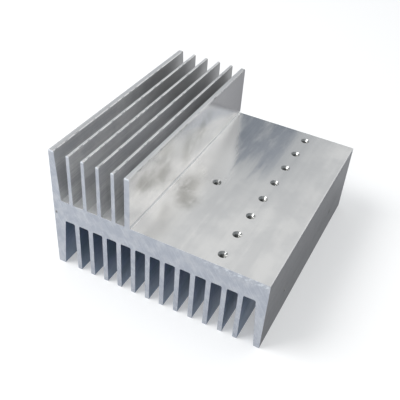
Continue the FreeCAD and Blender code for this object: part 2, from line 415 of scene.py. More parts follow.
streaks = noise(tree, place, STREAK_GRAINS, detail=4, roughness=0.6, seed=11)
flecks = noise(tree, place, FLECK_GRAINS, detail=5, roughness=0.65, seed=31)


def streaked(value, reach):
    """A coordinate that the streaks push to and fro, by a reach in millimetres."""
    return math_node(tree, "ADD", value, spread(tree, streaks, *NOISE_RANGE, -reach, reach))


on_plate = spread(tree, z, *ABOVE_PLATE, 1.0, 0.0)
past_wall = math_node(tree, "MULTIPLY_ADD", y, BLUE_LEFT_SLOPE, streaked(x, LEFT_STREAKS))
right_of_strip = spread(tree, past_wall, *BLUE_LEFT_EDGE)
# The bluish patch: partly oxide, partly painted reflection
oxide_and_reflection = overlap(
    tree,
    spread(tree, streaked(y, FRONT_STREAKS), *BLUE_FRONT_EDGE),
    spread(tree, streaked(x, RIGHT_STREAKS), *BLUE_RIGHT_EDGE, 1.0, 0.0),
    right_of_strip,
    on_plate,
    spread(tree, flecks, *FLECK_RANGE, LEAST_BLUE, 1.0),
)
color = mix_colors(tree, oxide_and_reflection, color, OXIDE_AND_REFLECTION_BLUE)
# The strip beside the wall: painted brighter, a painted reflection of the wall, and rougher
brightened = overlap(
    tree,
    math_node(tree, "SUBTRACT", 1.0, right_of_strip),
    spread(tree, past_wall, *STRIP_SIDE_EDGE),
    on_plate,
    spread(tree, y, *STRIP_FRONT_EDGE),
)
color = mix_colors(tree, brightened, color, PAINTED_WALL_REFLECTION)
gloss = shader.inputs["Roughness"].links[0].from_socket
strip_gloss = math_node(tree, "MULTIPLY_ADD", brightened, STRIP_ROUGHER, gloss)
tree.links.new(strip_gloss, shader.inputs["Roughness"])
print("with the oxide and the rubbed strip:", len(tree.nodes), "nodes")

# %% [markdown]
# The upper back corner of the wall carries a painted dark reflection. It stands in for the dark
# ground behind the part, which the wall mirrors there at a flat angle. It is painted mostly into
# the specular tint, which is what the metal reflects at a flat angle, so it looks grey from the
# camera and plain from elsewhere, and its colour is a little darker too. A line from the foot of
# the wall at the back, sloping up to its top edge, bounds the corner.

# %% Corner of the wall
# Painted dark reflection: the wall's upper back corner, darker in colour and in its edge tint
DARK_REFLECTION_COLOR = (0.64, 0.64, 0.65)
EDGE_TINT = (1.0, 1.0, 1.0)
DARK_REFLECTION_EDGE_TINT = (0.04, 0.04, 0.05)
CORNER_EDGE = (75.0, 83.0)
CORNER_SLOPE = 1.65
WALL_FROM = (-19.0, -18.0)

height = math_node(tree, "MULTIPLY_ADD", z, CORNER_SLOPE, y)
height = math_node(tree, "SUBTRACT", height, PLATE_LEVEL * CORNER_SLOPE)
# Where the painted dark reflection lies on the wall
corner = overlap(
    tree,
    spread(tree, height, *CORNER_EDGE),
    spread(tree, z, *ABOVE_PLATE),
    spread(tree, x, *WALL_FROM),
)
color = mix_colors(tree, corner, color, DARK_REFLECTION_COLOR)
edge_tint = mix_colors(tree, corner, EDGE_TINT, DARK_REFLECTION_EDGE_TINT)
tree.links.new(edge_tint, shader.inputs["Specular Tint"])
print("with the corner of the wall:", len(tree.nodes), "nodes")

# %% [markdown]
# Grey smudges lie on the plate and on the wall, where hands and parts have rubbed, and a thin
# grey veil spreads over the upper half of the wall. The top edges of the wall and the upper fins
# have small dents from handling: each is a dark fleck, pressed in by the bump.

# %% Smudges, dents and veil
MILL_SMUDGE = (0.48, 0.48, 0.47)
# Each smudge has a centre and a reach in millimetres, and a strength
SMUDGES = (
    ((-9, -26, 54), (13, 19, 3), 1.0),
    ((0, -38, 54), (11, 13, 3), 1.0),
    ((-17, -61, 77), (4, 20, 13), 0.9),
    ((-17, -39, 78), (4, 16, 20), 0.9),
    ((-17, -7, 70), (4, 14, 18), 0.9),
    ((-17, 14, 74), (4, 18, 18), 1.0),
    ((-17, -40, 92), (4, 56, 7), 0.8),
)
SMUDGE_SOFTNESS = 0.8
MOTTLE_GRAINS = (0.09, 0.055, 0.08)
MOTTLE_RANGE = (0.32, 0.56)
LEAST_SMUDGE = 0.15
VEIL = ((-17, -16, 80), (4, 70, 21), 0.25)
VEIL_SOFTNESS = 0.7
DENT_COLOR = (0.30, 0.30, 0.30)
DENT_SHARE = 0.8
DENT_DEPTH = 0.25
DENT_GRAINS = (0.45, 0.22, 0.45)
DENT_RANGE = (0.56, 0.64)
DENTED_EDGE = (FIN_LEVEL - 1.0, FIN_LEVEL - 0.6)

mottle = noise(tree, place, MOTTLE_GRAINS, detail=4, roughness=0.6, seed=21)
for centre, reach, strength in SMUDGES:
    smudge = patch(tree, ragged, centre, reach, soft=SMUDGE_SOFTNESS)
    uneven = spread(tree, mottle, *MOTTLE_RANGE, LEAST_SMUDGE * strength, strength)
    color = mix_colors(tree, overlap(tree, smudge, uneven), color, MILL_SMUDGE)

hollows = noise(tree, place, DENT_GRAINS, detail=2, seed=41)
dents = overlap(tree, spread(tree, hollows, *DENT_RANGE), spread(tree, z, *DENTED_EDGE))
color = mix_colors(tree, overlap(tree, dents, DENT_SHARE), color, DENT_COLOR)
dented = add(
    tree,
    "ShaderNodeBump",
    {
        "Height": dents,
        "Strength": 1.0,
        "Distance": DENT_DEPTH * MM,
        "Normal": shader.inputs["Normal"].links[0].from_socket,
    },
    invert=True,
)
tree.links.new(dented.outputs[0], shader.inputs["Normal"])

veil_centre, veil_reach, veil_strength = VEIL
veil = patch(tree, ragged, veil_centre, veil_reach, soft=VEIL_SOFTNESS)
color = mix_colors(tree, overlap(tree, veil, veil_strength), color, MILL_SMUDGE)
tree.links.new(color, shader.inputs["Base Color"])
print("mill finish with all its marks:", len(tree.nodes), "nodes")

# %% [markdown]
# Between the fins the metal is matt, so that the gaps are lit evenly instead of mirroring their
# neighbours. The upper gaps are painted darker towards the back, a painted shade, and their floors
# are painted brighter, a painted light where little light reaches, as is the fillet under the wall.
# The tops of the upper fins are neither matt nor glossy. The lower gaps are painted darker and
# bluish: painted shade between the fins with a painted bluish reflection, and darker still towards
# the fin tips. Both outer side faces are painted an even dark grey, a painted dark reflection of
# the shaded floor beside them, and they too reflect less at a flat angle.

# %% Mill finish between the fins and on the outer sides
LINES_SEEN = 0.8
# Each finish has a colour, a duller colour, a range of roughness and the depth of its lines
LOOKS = {
    "between_upper_fins": ((0.86, 0.86, 0.86), (0.66, 0.665, 0.68), (0.50, 0.65), 0.35),
    # Painted light: the floors of the upper gaps are brighter than the metal around them
    "upper_gap_floors": ((0.95, 0.95, 0.945), (0.86, 0.86, 0.86), (0.45, 0.60), 0.25),
    "upper_fin_tops": ((0.84, 0.84, 0.845), (0.70, 0.70, 0.71), (0.35, 0.50), 0.25),
    # Painted shade and a painted bluish reflection between the lower fins
    "between_lower_fins": ((0.46, 0.53, 0.69), (0.36, 0.47, 0.56), (0.38, 0.52), 0.25),
    # Painted dark reflection: the dark grey of the outer side faces
    "outer_sides": ((0.46, 0.465, 0.475), (0.39, 0.395, 0.405), (0.30, 0.40), 0.10),
}
# Painted shade at the back of the upper gaps
UPPER_GAP_BACK_SHADE = (0.40, 0.40, 0.405)
UPPER_GAP_BACK_EDGE = (-20.0, 75.0)
# Painted shade towards the lower fin tips
LOWER_TIP_SHADE = (0.25, 0.31, 0.40)
LOWER_TIP_EDGE = (2.0, 26.0)
# The outer sides reflect less at a flat angle, part of their painted dark reflection
SIDE_EDGE_TINT = (0.36, 0.36, 0.37)


def duller_finish(name):
    """One of the finishes above, and the parts that its colour is worked on with."""
    material, tree, shader, place, color = mill_finish(name, *LOOKS[name], LINES_SEEN)
    tree.links.new(color, shader.inputs["Base Color"])
    return material, tree, shader, place, color


# The gap floors and the fillet under the wall are painted brighter, a painted light
gap_floor_finish, *_ = duller_finish("upper_gap_floors")
fin_top_finish, *_ = duller_finish("upper_fin_tops")
upper_gaps_finish, tree, shader, place, color = duller_finish("between_upper_fins")
# Painted shade: the upper gaps grow darker towards the back
back = spread(tree, in_mm(tree, place)["Y"], *UPPER_GAP_BACK_EDGE)
tree.links.new(mix_colors(tree, back, color, UPPER_GAP_BACK_SHADE), shader.inputs["Base Color"])
# Painted shade: the lower gaps darker and bluish, and darker still towards the fin tips
lower_gaps_finish, tree, shader, place, color = duller_finish("between_lower_fins")
unshaded = spread(tree, in_mm(tree, place)["Z"], *LOWER_TIP_EDGE)
tree.links.new(mix_colors(tree, unshaded, LOWER_TIP_SHADE, color), shader.inputs["Base Color"])
# Painted dark reflection of the shaded floor beside the outer sides
side_finish, tree, shader, place, color = duller_finish("outer_sides")
shader.inputs["Specular Tint"].default_value = (*SIDE_EDGE_TINT, 1)
print("duller finishes:", ", ".join(LOOKS))


# %% [markdown]
# A circular saw leaves the two ends duller and slightly bluish, with faint slanting marks and a
# mottle of brighter flecks where chips were dragged over the face. Along the upper edge of the
# plate, where the saw came out and left a ragged burr, larger and brighter flecks are painted
# highlights where the burr catches light, and the upper fin tips carry a painted highlight. A small
# dark nick lies at the left edge of the front.

# %% Sawn finish
SAWN_COLOR = (0.475, 0.495, 0.535)
SAWN_LIGHT = (0.68, 0.71, 0.75)
SAWN_DARK = (0.41, 0.435, 0.49)
NICK_COLOR = (0.20, 0.20, 0.21)
NICK = ((-72.3, -80.0, 43.4), (1.0, 2.0, 1.5))
SAWN_ROUGHNESS = 0.45
SAWN_ROUGHNESS_RANGE = (0.52, 0.38)
MARK_SLANT = math.radians(32)
MARK_GRAINS = (1.4, 1.4, 0.08)
MARK_RANGE = (0.45, 0.75)
MARK_SHARE = 0.4
MARK_STRENGTH = 0.35
MARK_RELIEF = 0.04
SAWN_MOTTLE_GRAINS = (0.16, 0.16, 0.16)
SAWN_MOTTLE_RANGE = (0.40, 0.66)
CHIP_GRAINS = (0.9, 0.9, 0.9)
CHIP_RANGE = (0.60, 0.72)
CHIP_SHARE = 0.8
FRAYED_GRAINS = (0.30, 0.30, 0.55)
FRAYED_RANGE = (0.50, 0.62)
FRAYED_LEVELS = (48.5, 53.0)
FRAYED_ACROSS = (20.0, 45.0)
TIP_HIGHLIGHT_LEVELS = (89.4, 90.4)

sawn, tree, shader, place = new_material("sawn_face", SAWN_COLOR, SAWN_ROUGHNESS)
turned = add(tree, "ShaderNodeMapping", {"Vector": place, "Rotation": (0, MARK_SLANT, 0)}).outputs[0]
marks = noise(tree, turned, MARK_GRAINS, detail=3, roughness=0.6)
mottle = noise(tree, place, SAWN_MOTTLE_GRAINS, detail=6, roughness=0.65, seed=5)
chips = noise(tree, place, CHIP_GRAINS, detail=3, roughness=0.7, seed=9)
frayed = noise(tree, turned, FRAYED_GRAINS, detail=4, roughness=0.7, seed=17)
color = mix_colors(tree, spread(tree, mottle, *SAWN_MOTTLE_RANGE), SAWN_DARK, SAWN_COLOR)
color = mix_colors(tree, spread(tree, marks, *MARK_RANGE, 0.0, MARK_SHARE), color, SAWN_LIGHT)
color = mix_colors(tree, spread(tree, chips, *CHIP_RANGE, 0.0, CHIP_SHARE), color, SAWN_LIGHT)
x, y, z = in_mm(tree, place)
# Painted highlights where the burr on the plate's upper edge catches light
edge = overlap(
    tree,
    spread(tree, z, *FRAYED_LEVELS),
    spread(tree, x, *FRAYED_ACROSS),
    spread(tree, frayed, *FRAYED_RANGE),
)
# Painted highlight along the upper fin tips
tip_highlight = spread(tree, z, *TIP_HIGHLIGHT_LEVELS)
color = mix_colors(tree, math_node(tree, "MAXIMUM", edge, tip_highlight), color, SAWN_LIGHT)
color = mix_colors(tree, patch(tree, place, *NICK), color, NICK_COLOR)
tree.links.new(color, shader.inputs["Base Color"])
gloss = spread(tree, mottle, *NOISE_RANGE, *SAWN_ROUGHNESS_RANGE)
tree.links.new(gloss, shader.inputs["Roughness"])
bump = add(
    tree,
    "ShaderNodeBump",
    {"Height": marks, "Strength": MARK_STRENGTH, "Distance": MARK_RELIEF * MM},
)
tree.links.new(bump.outputs[0], shader.inputs["Normal"])
print("sawn finish:", len(tree.nodes), "nodes")

# %% [markdown]
# The countersink is turned metal with fine rings. It is painted greyer than the plate, a painted
# dark reflection, and it catches a glint at one side. The thread below it is painted dark, painted
# shade deep in the hole, where little light comes back out. The narrow mouths of the side holes
# are painted as dark as their threads.

# %% Bored finishes
# Painted dark reflection: the countersink's grey colour
CONE_COLOR = (0.52, 0.52, 0.51)
CONE_DARK = (0.40, 0.40, 0.39)
CONE_ROUGHNESS = (0.20, 0.30)
# Painted shade: the thread's dark colour
THREAD_COLOR = (0.28, 0.28, 0.27)
THREAD_DARK = (0.17, 0.17, 0.16)
THREAD_ROUGHNESS = (0.30, 0.45)
RING_GRAINS = (0.3, 0.3, 6.0)


def bored_finish(name, color, dark, roughness):
    """A turned surface: rings across a hole that runs down, in a colour and a gloss."""
    material, tree, shader, place = new_material(name, color, roughness[0])
    rings = noise(tree, place, RING_GRAINS, detail=2)
    tree.links.new(mix_colors(tree, rings, color, dark), shader.inputs["Base Color"])
    tree.links.new(spread(tree, rings, *NOISE_RANGE, *roughness), shader.inputs["Roughness"])
    return material


cone_finish = bored_finish("countersink", CONE_COLOR, CONE_DARK, CONE_ROUGHNESS)
thread_finish = bored_finish("thread", THREAD_COLOR, THREAD_DARK, THREAD_ROUGHNESS)
print("bored finishes:", cone_finish.name, thread_finish.name)


# %% [markdown]
# The outline is a list of corners, each with the radius that rounds it. The gaps repeat at one
# pitch, so a loop places them, and only the first and the last differ, where the outer walls are
# thicker at the root.

# %% Corners of the section
def gap(roots, mouths, levels, radii):
    """The four corners of an air gap, from mouth to root and back to the mouth."""
    return [
        (mouths[0], levels[1], radii[1]),
        (roots[0], levels[0], radii[0]),
        (roots[1], levels[0], radii[0]),
        (mouths[1], levels[1], radii[1]),
    ]


def comb(
    first_root,
    end_gaps,
    inner_gap,
    fin_root,
    fin_tip,
    fin_count,
    first_mouth,
    last_mouth,
    levels,
    radii,
):
    """All gaps of one side, from left to right, with a fin between each two."""
    taper = (fin_root - fin_tip) / 2
    corners = []
    left = first_root
    for place_in_row in range(fin_count + 1):
        first, last = place_in_row == 0, place_in_row == fin_count
        width = end_gaps[0] if first else end_gaps[1] if last else inner_gap
        right = left + width
        mouths = (first_mouth if first else left - taper, last_mouth if last else right + taper)
        corners += gap((left, right), mouths, levels, radii)
        left = right + fin_root
    return corners, right


lower_corners, last_lower_root = comb(
    LEFT_WALL_ROOT,
    (LOWER_GAP, LAST_LOWER_GAP),
    LOWER_GAP,
    LOWER_FIN_ROOT,
    LOWER_FIN_TIP,
    LOWER_FIN_COUNT,
    LEFT_WALL_TIP,
    SIZE.x / MM - RIGHT_WALL_TIP,
    (UNDERSIDE, 0.0),
    (LOWER_ROOT_RADIUS, LOWER_TIP_RADIUS),
)
width = last_lower_root + RIGHT_WALL_ROOT
upper_fin_room = UPPER_FIN_COUNT * UPPER_FIN_ROOT + (UPPER_FIN_COUNT - 1) * UPPER_GAP
wall_left = OUTER_FIN_ROOT + 2 * UPPER_END_GAP + upper_fin_room
wall_right = wall_left + WALL_THICKNESS
upper_corners, _ = comb(
    OUTER_FIN_ROOT,
    (UPPER_END_GAP, UPPER_END_GAP),
    UPPER_GAP,
    UPPER_FIN_ROOT,
    UPPER_FIN_TIP,
    UPPER_FIN_COUNT,
    OUTER_FIN_TIP,
    wall_left,
    (PLATE_LEVEL, FIN_LEVEL),
    (UPPER_ROOT_RADIUS, UPPER_TIP_RADIUS),
)
corners = [
    (0.0, START_LEVEL, 0.0),
    (0.0, 0.0, LOWER_TIP_RADIUS),
    *lower_corners,
    (width, 0.0, LOWER_TIP_RADIUS),
    (width, PLATE_LEVEL, PLATE_EDGE_RADIUS),
    (wall_right, PLATE_LEVEL, UPPER_ROOT_RADIUS),
    (wall_right, FIN_LEVEL, UPPER_TIP_RADIUS),
    *reversed(upper_corners),
    (0.0, FIN_LEVEL, UPPER_TIP_RADIUS),
    (0.0, START_LEVEL + CLOSING_STEP, 0.0),
]
print("section:", len(corners), "corners, width", round(width, 3), "mm, wall at", round(wall_right, 3))

# %% The outline as a curve
outline = bpy.data.curves.new("section", "CURVE")
outline.dimensions = "3D"
spline = outline.splines.new("POLY")
spline.points.add(len(corners) - 1)
for point, (x, z, radius) in zip(spline.points, corners):
    point.co = (x * MM, z * MM, 0, 1)
    point.radius = radius * MM
spline.use_cyclic_u = True
section = show("section", outline)
print("outline:", len(spline.points), "points")


# %% [markdown]
# An extrusion could be a Solidify or a Screw of the outline. Here a Geometry Nodes tree does it,
# in the order in which the real one is made. It rounds the corners, each by its own radius,
# draws the outline out to the length, and closes the two sawn ends. The edges that the saw left
# were broken with a file: so the outline at each end is a little smaller, and a short slope
# leads out to the full size. The tree works lying flat and turns the result up at the end.

# %% The extrusion as a tree
WELD_REACH = 0.001
# A face whose normal points along the extrusion by more than this was made by the saw or a file
SLOPED_FROM = 0.3


def extrusion_tree():
    """Rounds the outline's corners and draws it out, with a broken edge at both sawn ends."""
    tree, given, result = new_geometry_tree(
        "drawn_section",
        (
            ("Length", "Float"),
            ("Edge break", "Float"),
            ("Arc steps", "Int"),
            ("Drawn material", "Material"),
            ("Sawn material", "Material"),
        ),
    )
    rounded = add(
        tree,
        "GeometryNodeFilletCurve",
        {
            "Curve": given["Geometry"],
            "Radius": add(tree, "GeometryNodeInputRadius").outputs[0],
            "Count": given["Arc steps"],
            "Limit Radius": True,
        },
        mode="POLY",
    )
    tangent = add(tree, "GeometryNodeInputTangent").outputs[0]
    across = vector_node(tree, "CROSS_PRODUCT", (0, 0, 1), tangent)
    marked = add(
        tree,
        "GeometryNodeStoreNamedAttribute",
        {
            "Geometry": rounded.outputs[0],
            "Name": "inset",
            "Value": vector_node(tree, "SCALE", across, given["Edge break"]),
        },
        data_type="FLOAT_VECTOR",
        domain="POINT",
    )
    stored = add(tree, "GeometryNodeInputNamedAttribute", {"Name": "inset"}, data_type="FLOAT_VECTOR")
    inset = stored.outputs[0]
    small = add(
        tree, "GeometryNodeSetPosition", {"Geometry": marked.outputs[0], "Offset": inset}
    )
    loop = add(tree, "GeometryNodeCurveToMesh", {"Curve": small.outputs[0]})
    step = add(tree, "ShaderNodeCombineXYZ", {"Z": given["Edge break"]}).outputs[0]
    slope_in = vector_node(tree, "ADD", step, inset)
    slope_out = vector_node(tree, "SUBTRACT", step, inset)
    both_breaks = math_node(tree, "MULTIPLY", given["Edge break"], 2.0)
    straight = math_node(tree, "SUBTRACT", given["Length"], both_breaks)
    run = add(tree, "ShaderNodeCombineXYZ", {"Z": straight}).outputs[0]
    sides, top = loop.outputs[0], True
    for offset in (slope_out, run, slope_in):
        drawn = add(
            tree,
            "GeometryNodeExtrudeMesh",
            {"Mesh": sides, "Selection": top, "Offset": offset, "Offset Scale": 1.0},
            mode="EDGES",
        )
        sides, top = drawn.outputs["Mesh"], drawn.outputs["Top"]
    drawn_sides = add(
        tree, "GeometryNodeSetMaterial", {"Geometry": sides, "Material": given["Drawn material"]}
    )
    end = add(tree, "GeometryNodeFillCurve", {"Curve": small.outputs[0]}, mode="NGONS")
    far = add(tree, "ShaderNodeCombineXYZ", {"Z": given["Length"]})
    other_end = add(
        tree,
        "GeometryNodeTransform",
        {"Geometry": end.outputs[0], "Translation": far.outputs[0]},
    )
    ends = add(tree, "GeometryNodeJoinGeometry")
    tree.links.new(end.outputs[0], ends.inputs[0])
    tree.links.new(other_end.outputs[0], ends.inputs[0])
    sawn_ends = add(
        tree,
        "GeometryNodeSetMaterial",
        {"Geometry": ends.outputs[0], "Material": given["Sawn material"]},
    )
    whole = add(tree, "GeometryNodeJoinGeometry")
    tree.links.new(drawn_sides.outputs[0], whole.inputs[0])
    tree.links.new(sawn_ends.outputs[0], whole.inputs[0])
    welded = add(
        tree,
        "GeometryNodeMergeByDistance",
        {"Geometry": whole.outputs[0], "Distance": WELD_REACH * MM},
    )
    normal = add(tree, "GeometryNodeInputNormal").outputs[0]
    along = add(tree, "ShaderNodeSeparateXYZ", {0: normal}).outputs["Z"]
    sloped = math_node(tree, "GREATER_THAN", math_node(tree, "ABSOLUTE", along), SLOPED_FROM)
    broken = add(
        tree,
        "GeometryNodeSetMaterial",
        {
            "Geometry": welded.outputs[0],
            "Selection": sloped,
            "Material": given["Sawn material"],
        },
    )
    turned = add(
        tree,
        "GeometryNodeTransform",
        {"Geometry": broken.outputs[0], "Rotation": (math.radians(90), 0, 0)},
    )
    realized = add(tree, "GeometryNodeRealizeInstances", {"Geometry": turned.outputs[0]})
    tree.links.new(realized.outputs[0], result["Geometry"])
    return tree


# %% Draw the section out
EDGE_BREAK = 0.07
ARC_STEPS = 5

drawn = run_tree(
    section,
    extrusion_tree(),
    {
        "Length": SIZE.y,
        "Edge break": EDGE_BREAK * MM,
        "Arc steps": ARC_STEPS,
        "Drawn material": mill,
        "Sawn material": sawn,
    },
)
bpy.data.objects.remove(section)
drawn.transform(Matrix.Translation((LOW.x, HIGH.y, LOW.z)))
shape = bmesh.new()
shape.from_mesh(drawn)
bmesh.ops.recalc_face_normals(shape, faces=shape.faces)
open_edges = sum(not edge.is_manifold for edge in shape.edges)
volume = shape.calc_volume()
shape.to_mesh(drawn)
shape.free()
heat_sink = show("heat_sink_finished", drawn)
print("extrusion:", len(drawn.polygons), "faces,", open_edges, "open edges,", round(volume * 1e6, 1), "cm3")
print_materials(drawn)


# %% [markdown]
# Each tapped hole starts as the solid that the drill and the tap remove: a countersink, a thread
# and a drill point. Its radius is a function of the depth and of the turn, so that one formula
# gives the whole helix. Depth and turn are added in it, which makes the thread right-handed, as
# on any standard screw. The larger of the countersink and the thread wins at each height.

# %% The solid that drill and tap remove
TURN_STEPS = 28
STEPS_PER_PITCH = 6
# Half the angle of the drill's point
DRILL_POINT = math.radians(118 / 2)
# How far the cutter stands out of the hole
ABOVE = 0.6
# A metric thread is flat over these shares of its pitch, at the core and at its root
CORE_FLAT = 1 / 4
ROOT_FLAT = 1 / 8
M4 = {"core": 3.3, "major": 4.0, "pitch": 0.7, "mouth": 6.0, "depth": 12.0}
M3 = {"core": 2.5, "major": 3.0, "pitch": 0.5, "mouth": 3.3, "depth": RIGHT_WALL_ROOT}


def thread_share(phase):
    """How far a metric thread has cut at a share of its pitch: 0 at the core, 1 at its root."""
    past_core = 0.5 - abs(phase - 0.5) - CORE_FLAT / 2
    flank = (1 - CORE_FLAT - ROOT_FLAT) / 2
    return min(1.0, max(0.0, past_core / flank))


def tapped_cutter(core, major, pitch, mouth, depth):
    """The removed solid as a closed mesh, with its mouth at the origin and its point at -Z."""
    points, faces = [], []
    levels = [-ABOVE, 0.0]
    while levels[-1] < depth:
        levels.append(levels[-1] + pitch / STEPS_PER_PITCH)
    for level in levels:
        for turn in range(TURN_STEPS):
            share = turn / TURN_STEPS
            run_out = min(1.0, max(0.0, (depth - level) / pitch - 1.0))
            cut = run_out * thread_share((level / pitch + share) % 1)
            radius = max(core / 2 + (major - core) / 2 * cut, mouth / 2 - level)
            angle = 2 * math.pi * share
            points.append((radius * math.cos(angle) * MM, radius * math.sin(angle) * MM, -level * MM))
    for ring in range(len(levels) - 1):
        for turn in range(TURN_STEPS):
            beside = (turn + 1) % TURN_STEPS
            here, below = ring * TURN_STEPS, (ring + 1) * TURN_STEPS
            faces.append((here + turn, below + turn, below + beside, here + beside))
    faces.append(tuple(range(TURN_STEPS)))
    tip = len(points)
    points.append((0, 0, -(levels[-1] + core / 2 / math.tan(DRILL_POINT)) * MM))
    last = (len(levels) - 1) * TURN_STEPS
    for turn in range(TURN_STEPS):
        faces.append((last + turn, tip, last + (turn + 1) % TURN_STEPS))
    mesh = bpy.data.meshes.new("cutter")
    mesh.from_pydata(points, [], faces)
    deep = mesh.attributes.new("deep", "BOOLEAN", "FACE")
    for polygon, mark in zip(mesh.polygons, deep.data):
        mark.value = polygon.center.z < -(mouth - core) / 2 * MM
    return mesh


print("one M4 cutter:", len(tapped_cutter(**M4).polygons), "faces")


# %% [markdown]
# The holes lie in rows at one spacing. A second tree repeats a cutter along a line: the copies
# start as instances, which are cheap, and Realize Instances makes them real for the boolean.
# The cutters carry the finishes of the countersink and of the thread into the part.

# %% A row of cutters as a tree
def row_tree():
    """Repeats the given mesh along a line."""
    tree, given, result = new_geometry_tree(
        "hole_row",
        (
            ("Count", "Int"),
            ("Spacing", "Vector"),
            ("Cone material", "Material"),
            ("Thread material", "Material"),
        ),
    )
    line = add(
        tree,
        "GeometryNodeMeshLine",
        {"Count": given["Count"], "Offset": given["Spacing"]},
        mode="OFFSET",
    )
    copies = add(
        tree,
        "GeometryNodeInstanceOnPoints",
        {"Points": line.outputs[0], "Instance": given["Geometry"]},
    )
    realized = add(tree, "GeometryNodeRealizeInstances", {"Geometry": copies.outputs[0]})
    coned = add(
        tree,
        "GeometryNodeSetMaterial",
        {"Geometry": realized.outputs[0], "Material": given["Cone material"]},
    )
    deep = add(tree, "GeometryNodeInputNamedAttribute", {"Name": "deep"}, data_type="BOOLEAN")
    threaded = add(
        tree,
        "GeometryNodeSetMaterial",
        {
            "Geometry": coned.outputs[0],
            "Selection": deep.outputs[0],
            "Material": given["Thread material"],
        },
    )
    tree.links.new(threaded.outputs[0], result["Geometry"])
    return tree


hole_row = row_tree()
print("row of cutters:", len(hole_row.nodes), "nodes")

# %% Place the holes
ROW_COUNT = 8
ROW_PITCH = 20.0
ROW_START = 9.5
ROW_INSET = 34.0
ROW_HOLES_BEFORE_LONE_HOLE = 3
LONE_HOLE_INSET = 67.3
SIDE_COUNT = 2
SIDE_SPACING = 90.0
SIDE_START = 35.0
SIDE_HEIGHT = 19.0

lone_along = ROW_START + ROW_HOLES_BEFORE_LONE_HOLE * ROW_PITCH
from_above = Matrix.Identity(4)
from_right = Matrix.Rotation(math.radians(90), 4, "Y")
row_first = (width - ROW_INSET, ROW_START, PLATE_LEVEL)
lone_first = (width - LONE_HOLE_INSET, lone_along, PLATE_LEVEL)
side_first = (width, SIDE_START, SIDE_HEIGHT)
hole_sets = (
    ("plate_row", M4, from_above, row_first, ROW_COUNT, ROW_PITCH, cone_finish),
    ("lone", M4, from_above, lone_first, 1, 0.0, cone_finish),
    # The side holes' mouths take the thread's painted shade
    ("side_pair", M3, from_right, side_first, SIDE_COUNT, SIDE_SPACING, thread_finish),
)
cutters = []
for name, thread, turn, first, count, spacing, mouth_finish in hole_sets:
    mesh = tapped_cutter(**thread)
    mesh.transform(Matrix.Translation(LOW + Vector(first) * MM) @ turn)
    cutter = show(f"{name}_cutter", mesh)
    cutter.data = run_tree(
        cutter,
        hole_row,
        {
            "Count": count,
            "Spacing": (0, spacing * MM, 0),
            "Cone material": mouth_finish,
            "Thread material": thread_finish,
        },
    )
    cutters.append(cutter)
    print(name, "cutters:", len(cutter.data.polygons), "faces")

# %% Cut them
for cutter in cutters:
    cut = heat_sink.modifiers.new(cutter.name, "BOOLEAN")
    cut.operation = "DIFFERENCE"
    cut.solver = "EXACT"
    cut.object = cutter
    cut.material_mode = "TRANSFER"
evaluated = heat_sink.evaluated_get(bpy.context.evaluated_depsgraph_get())
bored_mesh = bpy.data.meshes.new_from_object(evaluated)
heat_sink.modifiers.clear()
heat_sink.data = bored_mesh
for cutter in cutters:
    bpy.data.objects.remove(cutter)
print("after drilling:", len(bored_mesh.polygons), "faces")
print_materials(bored_mesh)


# %% [markdown]
# The drawn faces still have one finish. Each now gets the one of its place: a face is sorted by
# its middle and by the way it looks.

# %% Finishes by place
# A face counts as on a level or a side face when its middle is this near, in millimetres
SKIN = 0.5
# How much of a normal points along an axis when its face lies flat, stands up, or is rounded
SIDEWAYS = 0.9
LEVEL = 0.95
STANDING = 0.5
ROUNDED = 0.1
PLACED_FINISHES = (
    upper_gaps_finish,
    gap_floor_finish,
    fin_top_finish,
    lower_gaps_finish,
    side_finish,
)


def finish_of(middle, normal):
    """The finish of a drawn face, from its middle in millimetres and its normal."""
    x, z = middle.x, middle.z
    outer = min(x - LOW.x / MM, HIGH.x / MM - x) < SKIN
    if outer:
        return side_finish if abs(normal.x) > SIDEWAYS else mill
    if z < UNDERSIDE + SKIN:
        return lower_gaps_finish
    beside_wall = x - LOW.x / MM - wall_right
    at_root = z < PLATE_LEVEL + UPPER_ROOT_RADIUS
    if beside_wall > -SKIN:
        fillet = at_root and beside_wall < UPPER_ROOT_RADIUS and min(normal.x, normal.z) > ROUNDED
        return gap_floor_finish if fillet else mill
    if z < PLATE_LEVEL - SKIN:
        return mill
    if normal.z < STANDING:
        return upper_gaps_finish
    if at_root:
        return gap_floor_finish
    return fin_top_finish if normal.z > LEVEL else mill


def sort_finishes(mesh):
    """Gives each drawn face its finish."""
    for finish in PLACED_FINISHES:
        mesh.materials.append(finish)
    places = {material: place for place, material in enumerate(mesh.materials)}
    for polygon in mesh.polygons:
        if polygon.material_index == places[mill]:
            polygon.material_index = places[finish_of(polygon.center / MM, polygon.normal)]


sort_finishes(heat_sink.data)
print_materials(heat_sink.data)

# %% [markdown]
# Two things are left to do to the mesh. The shader needs to know which way a reflection smears,
# and a UV map tells it: its U axis lies across the die lines on every drawn face. Then flat
# faces are kept flat and rounded edges smooth: edges sharper than 30 degrees are marked, and
# normals are weighted by face area, so that a narrow rounding doesn't bend the light on a wide
# face.

# %% Grain direction
SHARP_ANGLE = math.radians(30)


def mark_grain(mesh):
    """A UV map whose U runs across the die lines on drawn faces, and along X on sawn ones."""
    layer = mesh.uv_layers.new(name="grain")
    for polygon in mesh.polygons:
        normal = polygon.normal
        if abs(normal.y) > SIDEWAYS:
            along, across = Vector((0, 0, 1)), Vector((1, 0, 0))
        else:
            along = (Vector((0, 1, 0)) - normal * normal.y).normalized()
            across = along.cross(normal)
        for loop in polygon.loop_indices:
            corner = mesh.vertices[mesh.loops[loop].vertex_index].co
            layer.data[loop].uv = (corner.dot(across), corner.dot(along))


